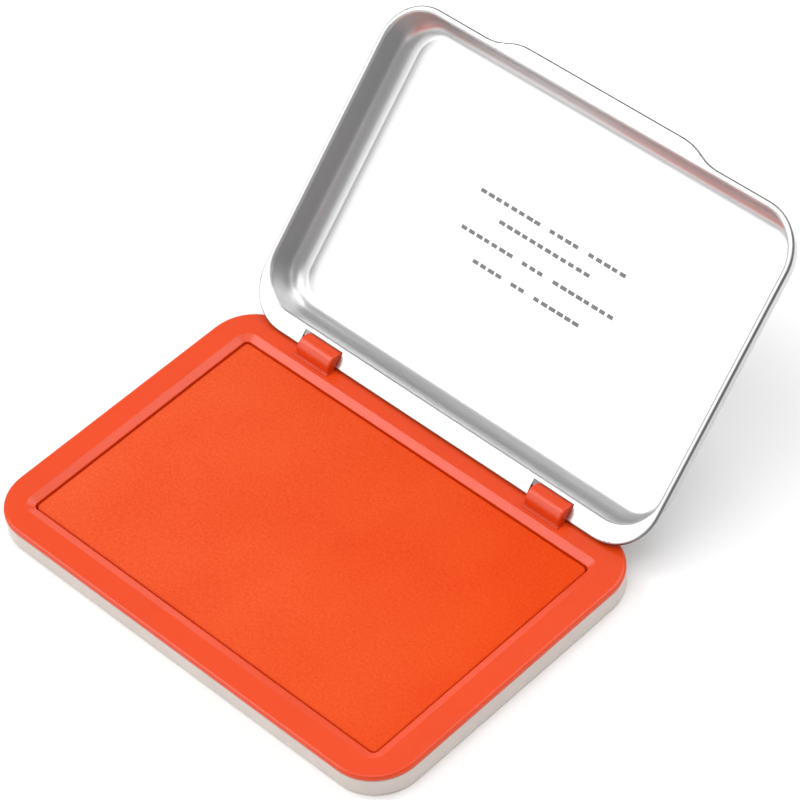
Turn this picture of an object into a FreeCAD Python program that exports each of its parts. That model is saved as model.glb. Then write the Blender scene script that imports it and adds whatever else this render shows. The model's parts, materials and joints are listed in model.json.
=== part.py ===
import FreeCAD, Part
import os

# Hinged-lid ink pad.  Millimetres, +Z up, X along the hinge, -Y the front edge with the thumb tab.
# The origin is the centre of the base's flat underside.  The lid is drawn shut, then swung open.

# ---- base and tray outline
base_length = 135.0
base_width = 91.8
base_corner = 12.8
rim_top = 7.0
parting_height = 5.5
parting_gap = 0.05

# ---- lower shell
shell_inset = 0.15
shell_wall = 1.6
shell_floor = 1.2
shell_foot_radius = 0.7

# ---- ink tray
tray_edge_radius = 0.85
tray_plate = 1.2
tray_lip = 1.6
skirt_gap = 0.1
skirt_thickness = 1.1
skirt_foot = 2.8
well_floor_under = 1.3
well_floor_top = 2.1
well_wall = 1.2
well_corner = 1.5
bevel_width = 2.2
bevel_drop = 0.9
mouth_half_length = 60.5
mouth_front = -39.6
mouth_back = 37.6

# ---- pad
pad_gap = 0.3
card_thickness = 0.6
core_thickness = 2.6
cover_thickness = 0.3
pad_corner = 1.4
pad_edge_radius = 0.8

# ---- hinge
hinge_y = 42.45
bead_radius = 0.6
lid_rest_gap = 0.05
hinge_z = rim_top + lid_rest_gap + bead_radius
open_angle = 136.5
clip_centre = 38.95
clip_width = 11.6
hood_radius = 3.4
hood_shift = 0.3
clip_running_gap = 0.08
clip_mouth = 0.45
clip_foot_depth = 3.4
clip_foot_thickness = 1.8
clip_end_radius = 0.6
clip_toe_reach = 0.7
clip_toe_height = 0.25
hood_front = hinge_y + hood_shift - hood_radius
slot_room_left = 1.3
slot_room_right = 0.15
slot_front = 38.5

# ---- lid
lid_length = 132.4
lid_front = -47.05
lid_corner = 12.8
sheet = 0.3
pan_half_length = 64.7
pan_front = -45.4
pan_back = 37.5
pan_corner = 11.4
pan_depth = 9.55
pan_draw = 1.3
pan_floor_radius = 4.5
panel_inset = 5.3
panel_step_width = 1.75
panel_step_rises = (0.065, 0.045)
mouth_roll = 0.85
tab_half_width = 25.0
tab_reach = 2.8
tab_shoulder = 13.5

vec = FreeCAD.Vector
up = vec(0, 0, 1)


def rounded_outline(left, right, front, back, radius, height):
    """Closed wire of four lines and four quarter arcs at one height."""
    slant = radius * (1.0 - 0.5 ** 0.5)
    corners = [(right, front), (right, back), (left, back), (left, front)]
    inward = [(-1, 1), (-1, -1), (1, -1), (1, 1)]
    edges = []
    points = []
    for (x, y), (sx, sy) in zip(corners, inward):
        on_x = vec(x + sx * radius, y, height)
        on_y = vec(x, y + sy * radius, height)
        middle = vec(x + sx * slant, y + sy * slant, height)
        first_along_x = sx * sy < 0
        start, end = (on_x, on_y) if first_along_x else (on_y, on_x)
        points.append((start, middle, end))
    for index, (start, middle, end) in enumerate(points):
        edges.append(Part.Arc(start, middle, end).toShape())
        edges.append(Part.makeLine(end, points[(index + 1) % 4][0]))
    return Part.Wire(Part.__sortEdges__(edges))


def rounded_slab(left, right, front, back, radius, bottom, top):
    face = Part.Face(rounded_outline(left, right, front, back, radius, bottom))
    return face.extrude(vec(0, 0, top - bottom))


def tapered_slab(low, high):
    """Solid between two rounded outlines of the same make."""
    return Part.makeLoft([rounded_outline(*low), rounded_outline(*high)], True, True)


def centred_slab(inset, radius, bottom, top):
    half_length = base_length / 2 - inset
    half_width = base_width / 2 - inset
    return rounded_slab(-half_length, half_length, -half_width, half_width, radius, bottom, top)


def edges_at_height(shape, height):
    found = []
    for edge in shape.Edges:
        if abs(edge.BoundBox.ZMin - height) < 1e-4 and abs(edge.BoundBox.ZMax - height) < 1e-4:
            found.append(edge)
    return found


def base_shell():
    """Shallow moulded dish, open upwards: flat floor and one wall with a softened foot."""
    top = parting_height
    outside = centred_slab(shell_inset, base_corner - shell_inset, 0, top)
    outside = outside.makeFillet(shell_foot_radius, edges_at_height(outside, 0))
    outside = outside.makeChamfer(0.2, edges_at_height(outside, top))
    inset = shell_inset + shell_wall
    inside = centred_slab(inset, base_corner - inset, shell_floor, top + 1)
    inside = inside.makeFillet(0.6, edges_at_height(inside, shell_floor))
    return outside.cut(inside)


def ink_tray():
    """Upper moulding: flat rim with a rolled outer edge, a bevelled mouth and the well that holds the pad."""
    lip_foot = parting_height + parting_gap
    body = centred_slab(0, base_corner, lip_foot, rim_top)
    body = body.makeFillet(tray_edge_radius, edges_at_height(body, rim_top))
    body = body.makeChamfer(0.2, edges_at_height(body, lip_foot))
    under_plate = centred_slab(tray_lip, base_corner - tray_lip, lip_foot - 1, rim_top - tray_plate)
    body = body.cut(under_plate)

    skirt_inset = shell_inset + shell_wall + skirt_gap
    skirt_radius = base_corner - skirt_inset
    skirt = centred_slab(skirt_inset, skirt_radius, skirt_foot, rim_top - tray_plate + 0.2)
    inner_inset = skirt_inset + skirt_thickness
    skirt = skirt.cut(centred_slab(inner_inset, skirt_radius - skirt_thickness, skirt_foot - 1, rim_top))
    body = body.fuse(skirt)

    half = mouth_half_length - bevel_width
    front = mouth_front + bevel_width
    back = mouth_back - bevel_width
    well = rounded_slab(-half - well_wall, half + well_wall, front - well_wall, back + well_wall,
                        well_corner + well_wall, well_floor_under, rim_top - 0.3)
    body = body.fuse(well)
    pocket = rounded_slab(-half, half, front, back, well_corner, well_floor_top, rim_top + 1)
    body = body.cut(pocket)

    overshoot = 0.5
    step = bevel_width * overshoot / bevel_drop
    low = (-half, half, front, back, well_corner, rim_top - bevel_drop)
    high = (-half - bevel_width - step, half + bevel_width + step, front - bevel_width - step,
            back + bevel_width + step, well_corner + bevel_width + step, rim_top + overshoot)
    body = body.cut(tapered_slab(low, high))
    mouth_edges = [e for e in edges_at_height(body, rim_top) if inside_mouth(e)]
    body = body.makeFillet(0.35, mouth_edges)

    for side in (-1, 1):
        body = body.cut(clip_foot(side, 0.04))
    return body.removeSplitter()


def inside_mouth(edge):
    box = edge.BoundBox
    within_x = max(abs(box.XMin), abs(box.XMax)) < mouth_half_length + 0.1
    within_y = box.YMin > mouth_front - 0.1 and box.YMax < mouth_back + 0.1
    return within_x and within_y


def clip_foot(side, play):
    """Rectangular foot of a hinge clip, or with play the socket for it."""
    width = clip_width - 2.0 + 2 * play
    depth = clip_foot_thickness + 2 * play
    corner = vec(side * clip_centre - width / 2, hood_front + 0.3 - play, rim_top - clip_foot_depth)
    return Part.makeBox(width, depth, clip_foot_depth, corner)


def hinge_clip(side):
    """Half-round hook whose curl is open at the lower rear; its foot is pressed down into the rim."""
    left = side * clip_centre - clip_width / 2
    along = vec(1, 0, 0)
    axis_point = vec(left, hinge_y, hinge_z)
    hood = Part.makeCylinder(hood_radius, clip_width, vec(left, hinge_y + hood_shift, hinge_z), along)
    skirt_box = Part.makeBox(clip_width, 2 * hood_radius, hinge_z - rim_top, vec(left, hood_front, rim_top))
    below = Part.makeBox(clip_width, 4 * hood_radius, 2 * hood_radius,
                         vec(left, hood_front - hood_radius, rim_top - 2 * hood_radius))
    hook = hood.fuse(skirt_box).cut(below).removeSplitter()
    end_edges = []
    for edge in hook.Edges:
        box = edge.BoundBox
        at_end = box.XMax - box.XMin < 1e-4
        if at_end and box.ZMax > rim_top + 0.2:
            end_edges.append(edge)
    hook = hook.makeFillet(clip_end_radius, end_edges)
    bore_radius = bead_radius + clip_running_gap
    bore = Part.makeCylinder(bore_radius, clip_width, axis_point, along)
    under_bore = Part.makeBox(clip_width, 2 * bore_radius, hinge_z - rim_top,
                              vec(left, hinge_y - bore_radius, rim_top))
    mouth = Part.makeBox(clip_width, 2 * hood_radius, clip_mouth, vec(left, hinge_y, rim_top))
    hook = hook.cut(bore).cut(under_bore).cut(mouth)
    toe_front = hood_front - clip_toe_reach
    toe = Part.makeBox(clip_width, clip_toe_reach + 0.3, clip_toe_height, vec(left, toe_front, rim_top))
    toe = toe.makeFillet(clip_toe_height * 0.7, [e for e in edges_at_height(toe, rim_top + clip_toe_height)
                                                 if e.BoundBox.YMax < toe_front + 0.01])
    return hook.fuse(toe).fuse(clip_foot(side, 0)).removeSplitter()


def pad_slab(inset, radius, bottom, top):
    half = mouth_half_length - bevel_width - inset
    front = mouth_front + bevel_width + inset
    back = mouth_back - bevel_width - inset
    return rounded_slab(-half, half, front, back, radius, bottom, top)


def pad_card():
    bottom = well_floor_top + 0.05
    return pad_slab(pad_gap + cover_thickness + 0.1, pad_corner - 0.4, bottom, bottom + card_thickness)


def pad_core():
    bottom = well_floor_top + 0.05 + card_thickness + 0.05
    core = pad_slab(pad_gap + cover_thickness + 0.1, pad_corner - 0.4, bottom, bottom + core_thickness)
    return core.makeFillet(pad_edge_radius - cover_thickness, edges_at_height(core, bottom + core_thickness))


def pad_cover():
    """Cloth drawn over the felt and down its four sides, open below."""
    bottom = well_floor_top + 0.05
    felt_top = bottom + card_thickness + 0.05 + core_thickness
    top = felt_top + 0.05 + cover_thickness
    outside = pad_slab(pad_gap, pad_corner, bottom, top)
    outside = outside.makeFillet(pad_edge_radius, edges_at_height(outside, top))
    hollow = pad_slab(pad_gap + cover_thickness, pad_corner - cover_thickness, bottom - 1, felt_top + 0.05)
    hollow = hollow.makeFillet(pad_edge_radius - cover_thickness, edges_at_height(hollow, felt_top + 0.05))
    return outside.cut(hollow)


def lid_path(inset, height):
    """Outline of the lid's edge with its thumb tab, drawn in by inset."""
    side = lid_length / 2 - inset
    front = lid_front + inset
    tab_front = front - tab_reach
    back = hinge_y + bead_radius - inset
    radius = lid_corner - inset
    slant = radius * (1.0 - 0.5 ** 0.5)
    half_flat = tab_half_width - inset
    half_foot = half_flat + tab_shoulder
    mid = (half_flat + half_foot) / 2
    edges = []
    for sign in (-1, 1):
        front_corner = Part.Arc(vec(sign * side, front + radius, height),
                                vec(sign * (side - slant), front + slant, height),
                                vec(sign * (side - radius), front, height))
        back_corner = Part.Arc(vec(sign * side, back - radius, height),
                               vec(sign * (side - slant), back - slant, height),
                               vec(sign * (side - radius), back, height))
        edges.append(front_corner.toShape())
        edges.append(back_corner.toShape())
        edges.append(Part.makeLine(vec(sign * side, front + radius, height),
                                   vec(sign * side, back - radius, height)))
        edges.append(Part.makeLine(vec(sign * (side - radius), front, height),
                                   vec(sign * half_foot, front, height)))
        shoulder = Part.BezierCurve()
        shoulder.setPoles([vec(sign * half_foot, front, height), vec(sign * mid, front, height),
                           vec(sign * mid, tab_front, height), vec(sign * half_flat, tab_front, height)])
        edges.append(shoulder.toShape())
    edges.append(Part.makeLine(vec(-half_flat, tab_front, height), vec(half_flat, tab_front, height)))
    edges.append(Part.makeLine(vec(side - radius, back, height), vec(radius - side, back, height)))
    return Part.Wire(Part.__sortEdges__(edges))


def pan_outline(grow, inset, height):
    """One level of the drawn pan, grown by the sheet thickness for its outside."""
    half = pan_half_length + grow - inset
    return (-half, half, pan_front - grow + inset, pan_back + grow - inset, pan_corner + grow - inset, height)


def pan_block(grow, bottom, top):
    """Drawn pan: tapered wall and large round, with the middle of the floor raised in two gentle slopes."""
    block = tapered_slab(pan_outline(grow, 0, bottom), pan_outline(grow, pan_draw, top))
    block = block.makeFillet(pan_floor_radius + grow, edges_at_height(block, top))
    inset = panel_inset + grow
    for rise in panel_step_rises:
        lower = pan_outline(grow, inset + panel_step_width, top - rise)
        block = block.cut(tapered_slab(lower, pan_outline(grow, inset, top)))
        block = block.cut(above_panel(grow, inset, top))
        inset += panel_step_width
        top -= rise
    return block


def above_panel(grow, inset, height):
    left, right, front, back, radius, bottom = pan_outline(grow, inset, height)
    return rounded_slab(left, right, front, back, radius, bottom, bottom + 1)


def roll_junction(shape, height, radius):
    """Round the inward corner where the pan meets the flange at one height."""
    loop = []
    for edge in edges_at_height(shape, height):
        box = edge.BoundBox
        if max(abs(box.XMin), abs(box.XMax)) < pan_half_length + sheet + 0.2:
            if box.YMin > pan_front - sheet - 0.2 and box.YMax < pan_back + sheet + 0.2:
                loop.append(edge)
    return shape.makeFillet(radius, loop)


def lid_shell():
    """One pressing: pan, flat flange, thumb tab and a curled edge all round that is the hinge bar at the back."""
    under = rim_top + lid_rest_gap + 0.02
    over = under + sheet
    floor_inside = under + pan_depth
    flange = Part.Face(lid_path(-1, under)).extrude(vec(0, 0, sheet))
    outside = flange.fuse(pan_block(sheet, under, floor_inside + sheet))
    outside = roll_junction(outside.removeSplitter(), over, mouth_roll + sheet)
    trim = Part.Face(lid_path(bead_radius, under - 1)).extrude(vec(0, 0, pan_depth + 3))
    outside = outside.common(trim)

    slab = Part.Face(lid_path(-2, under - 2)).extrude(vec(0, 0, 2))
    hollow = slab.fuse(pan_block(0, under - 0.5, floor_inside))
    hollow = roll_junction(hollow.removeSplitter(), under, mouth_roll)
    pressing = outside.cut(hollow)

    slot_width = slot_room_left + clip_width + slot_room_right
    for side in (-1, 1):
        corner = vec(side * clip_centre - clip_width / 2 - slot_room_left, slot_front, under - 1)
        pressing = pressing.cut(Part.makeBox(slot_width, 2 * hood_radius, 3, corner))

    path = lid_path(bead_radius, hinge_z)
    start = vec(0, lid_front + bead_radius - tab_reach, hinge_z)
    ring = Part.Wire(Part.makeCircle(bead_radius, start, vec(1, 0, 0)))
    bead = path.makePipeShell([ring], True, False)
    lid = pressing.fuse(bead).removeSplitter()
    lid.rotate(vec(0, hinge_y, hinge_z), vec(1, 0, 0), -open_angle)
    return lid


def write(name, shape):
    solid = shape.Solids[0] if len(shape.Solids) == 1 else shape
    print(name, "solids", len(shape.Solids), "valid", solid.isValid(), "volume", round(solid.Volume, 1))
    solid.exportStep(os.path.join("parts", name + ".step"))


os.makedirs("parts", exist_ok=True)
write("base_shell", base_shell())
write("ink_tray", ink_tray())
write("hinge_clip_left", hinge_clip(-1))
write("hinge_clip_right", hinge_clip(1))
write("pad_card", pad_card())
write("pad_core", pad_core())
write("pad_cover", pad_cover())
write("lid_shell", lid_shell())
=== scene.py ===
import json
import math

import bmesh
import bpy
import numpy as np
from mathutils import Matrix, Vector, noise


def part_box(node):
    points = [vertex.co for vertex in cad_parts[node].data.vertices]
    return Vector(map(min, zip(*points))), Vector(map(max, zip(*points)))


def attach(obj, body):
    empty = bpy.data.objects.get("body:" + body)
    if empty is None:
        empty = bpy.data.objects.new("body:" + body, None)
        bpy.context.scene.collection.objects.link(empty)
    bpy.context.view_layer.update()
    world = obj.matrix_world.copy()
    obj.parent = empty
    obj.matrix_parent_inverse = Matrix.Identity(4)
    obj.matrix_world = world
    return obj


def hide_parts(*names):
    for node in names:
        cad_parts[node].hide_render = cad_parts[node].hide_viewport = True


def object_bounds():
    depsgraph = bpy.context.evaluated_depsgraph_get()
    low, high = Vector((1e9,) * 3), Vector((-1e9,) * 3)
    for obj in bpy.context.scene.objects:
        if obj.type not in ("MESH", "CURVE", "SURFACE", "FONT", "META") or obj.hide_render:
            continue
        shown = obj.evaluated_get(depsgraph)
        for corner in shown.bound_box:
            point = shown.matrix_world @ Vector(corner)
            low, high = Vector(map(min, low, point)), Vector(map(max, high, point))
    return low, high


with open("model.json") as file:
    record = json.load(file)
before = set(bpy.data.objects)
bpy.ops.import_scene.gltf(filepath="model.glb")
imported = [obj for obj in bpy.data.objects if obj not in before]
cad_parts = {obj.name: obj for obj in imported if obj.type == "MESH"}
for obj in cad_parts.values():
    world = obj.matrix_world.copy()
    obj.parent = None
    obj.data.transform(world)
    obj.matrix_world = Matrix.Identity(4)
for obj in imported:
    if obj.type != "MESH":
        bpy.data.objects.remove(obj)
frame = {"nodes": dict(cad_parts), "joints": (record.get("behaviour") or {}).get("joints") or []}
cad_low, cad_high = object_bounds()

# ---------------------------------------------------------------- table, light and camera
# A wide table top, painted white near the object and grey farther out as a painted pool of light,
# inside a ring of soft boxes and pale screens. The boxes overhead and behind light the object; the
# others are there for the bright metal lid to mirror.

camera_data = bpy.data.cameras.new("camera")
camera_data.lens = 171.0
camera_data.sensor_width = 36.0
camera_data.clip_start = 0.01
camera_data.clip_end = 50.0
camera = bpy.data.objects.new("camera", camera_data)
bpy.context.scene.collection.objects.link(camera)
camera_right = Vector((0.71345, 0.69583, -0.08253))
camera_up = Vector((-0.46910, 0.56180, 0.68141))
camera_back = camera_right.cross(camera_up)
camera_place = Vector((0.47324, -0.37360, 0.68707))
camera.matrix_world = Matrix((
    (camera_right.x, camera_up.x, camera_back.x, camera_place.x),
    (camera_right.y, camera_up.y, camera_back.y, camera_place.y),
    (camera_right.z, camera_up.z, camera_back.z, camera_place.z),
    (0, 0, 0, 1)))
bpy.context.scene.camera = camera
bpy.context.scene.view_settings.view_transform = "Standard"


def soft_light(name, place, aim, width, height, brightness):
    """Rectangular light whose face has the given brightness, turned to face a point."""
    data = bpy.data.lights.new(name, "AREA")
    data.shape = "RECTANGLE"
    data.size = width
    data.size_y = height
    data.energy = brightness * width * height * math.pi
    lamp = bpy.data.objects.new(name, data)
    lamp.location = place
    lamp.rotation_mode = "QUATERNION"
    lamp.rotation_quaternion = (Vector(aim) - Vector(place)).to_track_quat("-Z", "Y")
    bpy.context.scene.collection.objects.link(lamp)


soft_light("overhead_box", (0.10, -0.25, 1.30), (0.02, 0, 0), 1.0, 1.0, 1.70)
soft_light("low_back_box", (0.35, 1.15, 1.00), (0, 0, 0), 1.3, 0.6, 2.0)
soft_light("back_box", (0.05, 0.78, 1.25), (0, 0, 0), 0.8, 0.6, 2.9)
soft_light("left_top_box", (-0.948, -0.400, 1.357), (0, 0, 0.01), 0.68, 0.62, 5.2)
soft_light("back_left_screen", (-0.99, 0.46, 1.30), (0, 0, 0), 1.0, 0.8, 0.14)
soft_light("right_screen", (1.15, 0.70, 0.55), (0, 0, 0.01), 0.8, 0.6, 1.1)
soft_light("back_left_window", (-1.19, 1.07, 0.55), (0, 0, 0.01), 1.2, 0.5, 1.3)
soft_light("white_screen", (-1.00, -1.34, 0.95), (0, 0.05, 0.03), 0.66, 1.3, 2.1)
soft_light("left_screen", (-1.62, -0.80, 0.80), (0, 0.05, 0.03), 1.0, 1.2, 0.85)
soft_light("middle_screen", (-0.22, -1.75, 1.15), (0, 0.05, 0.03), 0.95, 1.5, 0.72)

world = bpy.data.worlds.new("studio")
world.use_nodes = True
world.node_tree.nodes["Background"].inputs["Color"].default_value = (1, 1, 1, 1)
world.node_tree.nodes["Background"].inputs["Strength"].default_value = 0.42
bpy.context.scene.world = world

table_radius = 4.0
table_gap = 0.00005
fade_starts = 0.35
fade_ends = 1.3
near_white = 0.96
far_grey = 0.45
table_mesh = bpy.data.meshes.new("table_top")
table_shape = bmesh.new()
bmesh.ops.create_circle(table_shape, cap_ends=True, segments=96, radius=table_radius)
table_shape.to_mesh(table_mesh)
table_shape.free()
table_top = bpy.data.objects.new("table_top", table_mesh)
table_top.location.z = cad_low.z - table_gap
bpy.context.scene.collection.objects.link(table_top)
table_paint = bpy.data.materials.new("table_painted_light_pool")
table_paint.use_nodes = True
paint = table_paint.node_tree
coat = paint.nodes["Principled BSDF"]
place = paint.nodes.new("ShaderNodeTexCoord")
away = paint.nodes.new("ShaderNodeVectorMath")
away.operation = "LENGTH"
paint.links.new(place.outputs["Object"], away.inputs[0])
# Painted pool of light: the table's colour runs from white near the object to grey farther out.
fade = paint.nodes.new("ShaderNodeMapRange")
fade.interpolation_type = "SMOOTHSTEP"
fade.inputs["From Min"].default_value = fade_starts
fade.inputs["From Max"].default_value = fade_ends
fade.inputs["To Min"].default_value = near_white
fade.inputs["To Max"].default_value = far_grey
paint.links.new(away.outputs["Value"], fade.inputs["Value"])
paint.links.new(fade.outputs["Result"], coat.inputs["Base Color"])
coat.inputs["Roughness"].default_value = 0.8
table_mesh.materials.append(table_paint)

# ---------------------------------------------------------------- lower shell
# A shallow dish moulded in warm grey plastic; the tray is pressed into it. Its skin keeps
# the fine grain of the mould and is slightly blotched.


def link_noise(tree, size, detail, rough=0.55, stretch=(1, 1, 1)):
    """Three-dimensional noise whose grains are about the given size in metres."""
    place = tree.nodes.new("ShaderNodeTexCoord")
    scale = tree.nodes.new("ShaderNodeMapping")
    scale.inputs["Scale"].default_value = [s / size for s in stretch]
    grain = tree.nodes.new("ShaderNodeTexNoise")
    grain.inputs["Scale"].default_value = 1.0
    grain.inputs["Detail"].default_value = detail
    grain.inputs["Roughness"].default_value = rough
    tree.links.new(place.outputs["Object"], scale.inputs["Vector"])
    tree.links.new(scale.outputs["Vector"], grain.inputs["Vector"])
    return grain.outputs["Fac"]


def between(tree, factor, low, high, start=0.0, end=1.0):
    """Number that runs from low to high as the factor runs from start to end."""
    span = tree.nodes.new("ShaderNodeMapRange")
    span.inputs["From Min"].default_value = start
    span.inputs["From Max"].default_value = end
    span.inputs["To Min"].default_value = low
    span.inputs["To Max"].default_value = high
    tree.links.new(factor, span.inputs["Value"])
    return span.outputs["Result"]


def two_tones(tree, factor, first, second):
    """Colour that runs from the first to the second with the factor."""
    mix = tree.nodes.new("ShaderNodeMix")
    mix.data_type = "RGBA"
    mix.inputs["A"].default_value = (*first, 1)
    mix.inputs["B"].default_value = (*second, 1)
    tree.links.new(factor, mix.inputs["Factor"])
    return mix.outputs["Result"]


def raise_grain(tree, height, depth):
    """Bump of the given depth in metres, joined to the surface."""
    bump = tree.nodes.new("ShaderNodeBump")
    bump.inputs["Strength"].default_value = 1.0
    bump.inputs["Distance"].default_value = depth
    tree.links.new(height, bump.inputs["Height"])
    tree.links.new(bump.outputs["Normal"], tree.nodes["Principled BSDF"].inputs["Normal"])


def new_finish(name):
    """Fresh material, its node tree and its surface node."""
    finish = bpy.data.materials.new(name)
    finish.use_nodes = True
    return finish, finish.node_tree, finish.node_tree.nodes["Principled BSDF"]


def put_on(node, finish):
    """Swaps the plain finish of a part for the detailed one."""
    part = frame["nodes"][node]
    part.data.materials.clear()
    part.data.materials.append(finish)


shell_finish, tree, skin = new_finish("shell_plastic_detailed")
blotch = link_noise(tree, 0.012, 3)
tree.links.new(two_tones(tree, between(tree, blotch, 0, 1, 0.35, 0.65),
                         (0.62, 0.55, 0.50), (0.66, 0.585, 0.535)), skin.inputs["Base Color"])
tree.links.new(between(tree, link_noise(tree, 0.004, 4), 0.42, 0.56), skin.inputs["Roughness"])
raise_grain(tree, link_noise(tree, 0.00035, 2), 0.00001)
put_on("base_shell", shell_finish)

# ---------------------------------------------------------------- ink tray and hinge hooks
# One orange-red moulding with a flat rim, and two half-round hooks pressed into it in the
# same plastic. The rim is satin with a faint eroded grain, and its edges are slightly worn.

tray_finish, tree, skin = new_finish("tray_plastic_detailed")
cloud = link_noise(tree, 0.02, 3)
tree.links.new(two_tones(tree, between(tree, cloud, 0, 1, 0.3, 0.7),
                         (0.69, 0.047, 0.000), (0.73, 0.051, 0.001)), skin.inputs["Base Color"])
tree.links.new(between(tree, link_noise(tree, 0.003, 4), 0.26, 0.35), skin.inputs["Roughness"])
raise_grain(tree, link_noise(tree, 0.00025, 2), 0.000006)
worn_edge = tree.nodes.new("ShaderNodeBevel")
worn_edge.samples = 6
worn_edge.inputs["Radius"].default_value = 0.00035
grain_bump = skin.inputs["Normal"].links[0].from_node
tree.links.new(worn_edge.outputs["Normal"], grain_bump.inputs["Normal"])
for moulded in ("ink_tray", "hinge_clip_left", "hinge_clip_right"):
    put_on(moulded, tray_finish)

# ---------------------------------------------------------------- backing board
# Grey-brown packing board on the floor of the tray's well, cut with a knife. It keeps the
# felt flat and shows its pressed fibres on the faces.

board_finish, tree, skin = new_finish("backing_board_detailed")
tree.links.new(two_tones(tree, link_noise(tree, 0.0006, 5, 0.7, (1, 4, 1)),
                         (0.34, 0.25, 0.16), (0.52, 0.40, 0.27)), skin.inputs["Base Color"])
skin.inputs["Roughness"].default_value = 0.9
raise_grain(tree, link_noise(tree, 0.0003, 3), 0.00003)
put_on("pad_card", board_finish)

# ---------------------------------------------------------------- felt
# Thick pressed wool felt, die cut and soaked with ink, lying on the board. Its faces are a
# little uneven and its upper edge is rounded by the cloth that is drawn over it.


def blanket_points(u, v, low, high, corner):
    """Carries a point of the unit square onto a rectangle with small round corners."""
    half = Vector(((high.x - low.x) / 2, (high.y - low.y) / 2))
    middle = Vector(((high.x + low.x) / 2, (high.y + low.y) / 2))
    x = u * half.x
    y = v * half.y
    over_x = abs(x) - (half.x - corner)
    over_y = abs(y) - (half.y - corner)
    if over_x > 0 and over_y > 0:
        longest = max(over_x, over_y)
        pull = longest / math.hypot(over_x, over_y)
        x = math.copysign(half.x - corner + over_x * pull, x)
        y = math.copysign(half.y - corner + over_y * pull, y)
        inner = corner - longest
    else:
        inner = min(half.x - abs(x), half.y - abs(y))
    return middle.x + x, middle.y + y, inner


def crowded_to_edges(k, count):
    """Runs from -1 to 1, with the steps getting shorter towards both ends."""
    t = 2 * k / count - 1
    return math.copysign(1 - (1 - abs(t)) ** 1.3, t)


def blanket_shape(low, high, corner, columns, rows, height_at, side_rows):
    """Open-bottomed skin of a thin pad: a grid over the top and plain rows down the sides."""
    shape = bmesh.new()
    grid = []
    for row in range(rows + 1):
        line = []
        for column in range(columns + 1):
            u = crowded_to_edges(column, columns)
            v = crowded_to_edges(row, rows)
            x, y, inner = blanket_points(u, v, low, high, corner)
            line.append(shape.verts.new((x, y, height_at(x, y, inner))))
        grid.append(line)
    for row in range(rows):
        for column in range(columns):
            shape.faces.new((grid[row][column], grid[row][column + 1],
                             grid[row + 1][column + 1], grid[row + 1][column]))
    rim = [edge for edge in shape.edges if edge.is_boundary]
    for step in range(side_rows):
        lowered = bmesh.ops.extrude_edge_only(shape, edges=rim)["geom"]
        left = side_rows - step
        for point in (v for v in lowered if isinstance(v, bmesh.types.BMVert)):
            point.co.z -= (point.co.z - low.z) / left
        rim = [e for e in lowered if isinstance(e, bmesh.types.BMEdge) and e.is_boundary]
    return shape, rim


def settled_mesh(name, shape):
    """Mesh of a built shape, with its points and its faces listed in the same order on each run."""
    points = sorted(tuple(point.co) for point in shape.verts)
    rank = {point: number for number, point in enumerate(points)}
    faces = sorted([rank[tuple(point.co)] for point in face.verts] for face in shape.faces)
    mesh = bpy.data.meshes.new(name)
    mesh.from_pydata(points, [], faces)
    return mesh


def finish_piece(name, shape, finish):
    """Turns a built shape into a smooth-shaded object with its finish."""
    bmesh.ops.recalc_face_normals(shape, faces=shape.faces)
    mesh = settled_mesh(name, shape)
    shape.free()
    mesh.shade_smooth()
    mesh.materials.append(finish)
    piece = bpy.data.objects.new(name, mesh)
    bpy.context.scene.collection.objects.link(piece)
    return piece


def rolled_down(inner, radius):
    """Drop of the surface at a rolled edge of the given radius, zero away from the edge."""
    edge = max(0.0, min(1.0, inner / radius))
    return radius * (1.0 - math.sqrt(1.0 - (1.0 - edge) ** 2))


def uneven(x, y, per_metre, layer):
    """Smooth noise from -1 to 1 over the plan, with the given number of bumps to a metre."""
    return noise.noise(Vector((x * per_metre, y * per_metre, layer)))


felt_low, felt_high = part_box("pad_core")
felt_roll = 0.0007
felt_lump = 0.00006
felt_room = 0.00012
felt_corner = 0.001


def felt_height(x, y, inner):
    """Height of the felt's face at a point that lies the given distance in from its edge."""
    lump = felt_lump * uneven(x, y, 300, 5.5)
    return felt_high.z - felt_room - rolled_down(inner, felt_roll) + lump


felt_finish, tree, skin = new_finish("felt_detailed")
tree.links.new(two_tones(tree, link_noise(tree, 0.0008, 6, 0.75),
                         (0.62, 0.05, 0.006), (0.80, 0.08, 0.010)), skin.inputs["Base Color"])
skin.inputs["Roughness"].default_value = 0.95
raise_grain(tree, link_noise(tree, 0.0004, 4), 0.00008)
shape, rim = blanket_shape(felt_low, felt_high, felt_corner, 116, 72, felt_height, 3)
bmesh.ops.edgeloop_fill(shape, edges=rim)
pad_felt = finish_piece("pad_felt", shape, felt_finish)
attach(pad_felt, "base")
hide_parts("pad_core")

# ---------------------------------------------------------------- pad cloth
# Fine non-woven cloth drawn over the felt and tucked down its four sides, open below. It
# is almost flat, with rolled edges that are a little uneven where the cloth turns down.

cloth_low, cloth_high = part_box("pad_cover")
cloth_low += Vector((-0.0002, 0.00025, 0))
cloth_high += Vector((-0.00025, 0.0002, 0))
cloth_roll = 0.0005
cloth_thickness = 0.00025
cloth_corner = 0.0014
cloth_room = 0.00008
shoulder_drop = 0.00010
shoulder_width = 0.0022
long_wave = 0.00005
short_wave = 0.00003
pucker_height = 0.00009
pucker_width = 0.0014


def cloth_height(x, y, inner):
    """Height of the cloth's face at a point that lies the given distance in from its edge."""
    shoulder = shoulder_drop * math.exp(-inner / shoulder_width)
    wave = long_wave * uneven(x, y, 75, 3.1)
    wave += short_wave * uneven(x, y, 260, 8.4)
    near_edge = math.exp(-((inner - pucker_width) / pucker_width) ** 2)
    pucker = pucker_height * near_edge * uneven(x, y, 520, 1.7)
    return cloth_high.z - cloth_room - rolled_down(inner, cloth_roll) - shoulder + wave + pucker


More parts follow.
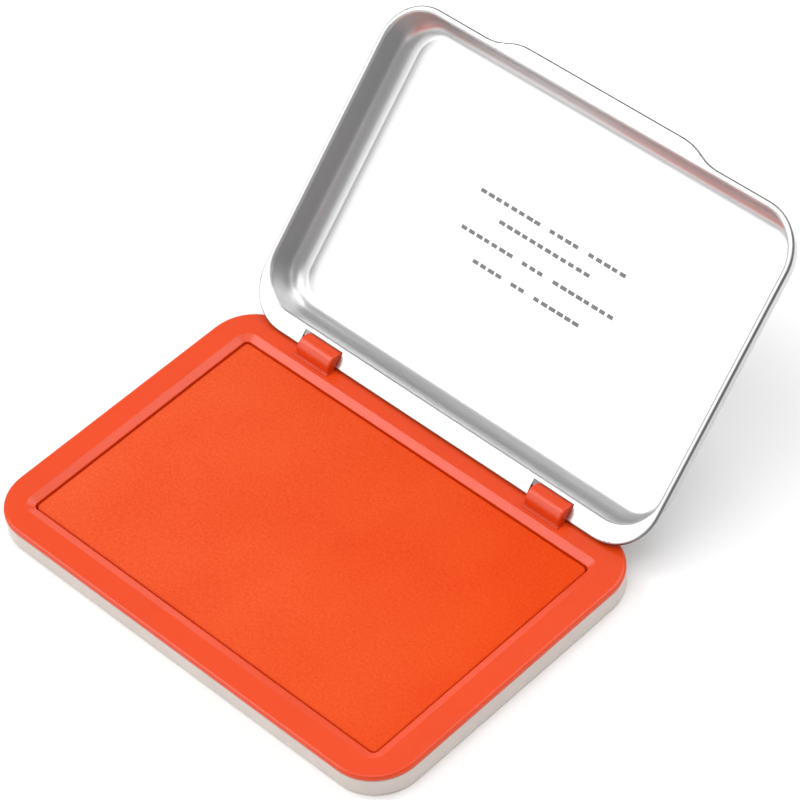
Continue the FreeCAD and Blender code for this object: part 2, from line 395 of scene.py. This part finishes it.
cloth_finish, tree, skin = new_finish("pad_cloth_detailed")
fibre = link_noise(tree, 0.0007, 5, 0.7)
patch = link_noise(tree, 0.03, 2)
speckled = tree.nodes.new("ShaderNodeMath")
speckled.operation = "MULTIPLY_ADD"
speckled.inputs[1].default_value = 0.75
tree.links.new(between(tree, fibre, 0, 1, 0.3, 0.7), speckled.inputs[0])
tree.links.new(between(tree, patch, -0.03, 0.28, 0.3, 0.7), speckled.inputs[2])
# The cloth's colour runs lighter and pinker from its right back towards its left front.
place = tree.nodes.new("ShaderNodeTexCoord")
sides = tree.nodes.new("ShaderNodeVectorMath")
sides.operation = "DOT_PRODUCT"
sides.inputs[1].default_value = (-1, -0.8, 0)
tree.links.new(place.outputs["Object"], sides.inputs[0])
lighter_left_front = between(tree, sides.outputs["Value"], 0, 1, -0.075, 0.075)
blend = tree.nodes.new("ShaderNodeMix")
blend.data_type = "RGBA"
tree.links.new(lighter_left_front, blend.inputs["Factor"])
tree.links.new(two_tones(tree, speckled.outputs["Value"],
                         (0.65, 0.034, 0.000), (0.73, 0.071, 0.002)), blend.inputs["A"])
tree.links.new(two_tones(tree, speckled.outputs["Value"],
                         (0.66, 0.052, 0.006), (0.75, 0.106, 0.033)), blend.inputs["B"])
tree.links.new(blend.outputs["Result"], skin.inputs["Base Color"])
skin.inputs["Roughness"].default_value = 0.75
skin.inputs["Specular IOR Level"].default_value = 0.15
raise_grain(tree, fibre, 0.00006)
shape = blanket_shape(cloth_low, cloth_high, cloth_corner, 250, 156, cloth_height, 4)[0]
bmesh.ops.recalc_face_normals(shape, faces=shape.faces)
bmesh.ops.solidify(shape, geom=shape.faces[:], thickness=cloth_thickness)
pad_cloth = finish_piece("pad_cloth", shape, cloth_finish)
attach(pad_cloth, "base")
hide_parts("pad_cover")

# ---------------------------------------------------------------- lid
# One drawing in thin bright tinplate: a shallow pan, a flat flange and a curled edge that is
# also the hinge bar. The outer side of the curl is painted dark metal, a painted shade.

hinge = frame["joints"][0]
hinge_line = Vector(hinge["pos_m"])
open_angle = math.radians(hinge["range_deg"][1])
to_tab = Vector((0, -math.cos(open_angle), math.sin(open_angle)))
to_inside = Vector((0, -math.sin(open_angle), -math.cos(open_angle)))

lid_finish, tree, skin = new_finish("lid_metal_detailed")
streak = link_noise(tree, 0.0005, 3, 0.5, (0.02, 1, 1))
tree.links.new(two_tones(tree, link_noise(tree, 0.01, 3), (0.61, 0.61, 0.615), (0.65, 0.65, 0.65)),
               skin.inputs["Base Color"])
skin.inputs["Metallic"].default_value = 1.0
tree.links.new(between(tree, streak, 0.31, 0.35, 0.3, 0.7), skin.inputs["Roughness"])
put_on("lid_shell", lid_finish)

# Painted shade: the outer side of the curl gets a dark metal colour that stands in for its shade and
# the dark surroundings it mirrors.
curl_painted_shade_finish, tree, skin = new_finish("lid_curl_painted_shade")
tree.links.new(two_tones(tree, link_noise(tree, 0.002, 4), (0.16, 0.16, 0.16), (0.22, 0.22, 0.22)),
               skin.inputs["Base Color"])
skin.inputs["Metallic"].default_value = 1.0
tree.links.new(between(tree, link_noise(tree, 0.0008, 3), 0.34, 0.46), skin.inputs["Roughness"])
lid = frame["nodes"]["lid_shell"]
lid.data.materials.append(curl_painted_shade_finish)
lid_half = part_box("lid_shell")[1].x
lid_corner = 0.0128
curl_width = 0.0013
bead_radius = 0.0006
curl_lean = 0.85
tab_reach = 0.0028
lid_reach = max((v.co - hinge_line).dot(to_tab) for v in lid.data.vertices) - tab_reach


def outside_edge(point):
    """Distance of a point from the lid's rounded outline, negative inside it."""
    along = (point - hinge_line).dot(to_tab)
    over_x = abs(point.x) - (lid_half - lid_corner)
    over_s = abs(along - (lid_reach - bead_radius) / 2) - ((lid_reach + bead_radius) / 2 - lid_corner)
    return math.hypot(max(over_x, 0), max(over_s, 0)) + min(max(over_x, over_s), 0) - lid_corner


# Faces on the outer side of the curl take the dark painted-shade finish.
for face in lid.data.polygons:
    if face.normal.dot(to_inside) < curl_lean and outside_edge(face.center) > -curl_width:
        face.material_index = 1

# ---------------------------------------------------------------- printed rows
# Four short rows of grey pad print on the floor of the pan, near the middle of the lid.
# They are plain dashes, a thin film of ink on the metal.

print_finish, tree, skin = new_finish("grey_print_detailed")
tree.links.new(two_tones(tree, link_noise(tree, 0.0006, 3), (0.15, 0.15, 0.15), (0.22, 0.22, 0.22)),
               skin.inputs["Base Color"])
tree.links.new(between(tree, link_noise(tree, 0.0004, 2), 0.45, 0.6), skin.inputs["Roughness"])

bpy.context.view_layer.update()
over_floor = hinge_line + to_tab * 0.046 + to_inside * 0.03
floor_point = lid.ray_cast(over_floor, -to_inside)[1]
floor_depth = (floor_point - hinge_line).dot(to_inside)
print_rows = ((0.0555, -0.0245, 0.0478), (0.0510, -0.0156, 0.0310),
              (0.0452, -0.0248, 0.0502), (0.0393, -0.0173, 0.0355))
dash_pitch = 0.00255
dash_height = 0.0010
shortest_dash = 0.62
longest_dash = 0.80
word_gap_share = 0.12
film = 0.00003
np.random.seed(4)
shape = bmesh.new()
for along, left, length in print_rows:
    for k in range(round(length / dash_pitch)):
        if np.random.random() < word_gap_share:
            continue
        start = left + k * dash_pitch
        end = start + dash_pitch * np.random.uniform(shortest_dash, longest_dash)
        corners = []
        for x, s in ((start, -1), (end, -1), (end, 1), (start, 1)):
            base = hinge_line + to_tab * (along + s * dash_height / 2) + to_inside * floor_depth
            corners.append(Vector((x, base.y, base.z)))
        under = [shape.verts.new(c - to_inside * film / 3) for c in corners]
        over = [shape.verts.new(c + to_inside * film) for c in corners]
        shape.faces.new(over)
        shape.faces.new(under[::-1])
        for n in range(4):
            shape.faces.new((under[n], under[(n + 1) % 4], over[(n + 1) % 4], over[n]))
lid_print = finish_piece("lid_print", shape, print_finish)
lid_print.data.shade_flat()
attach(lid_print, "lid")
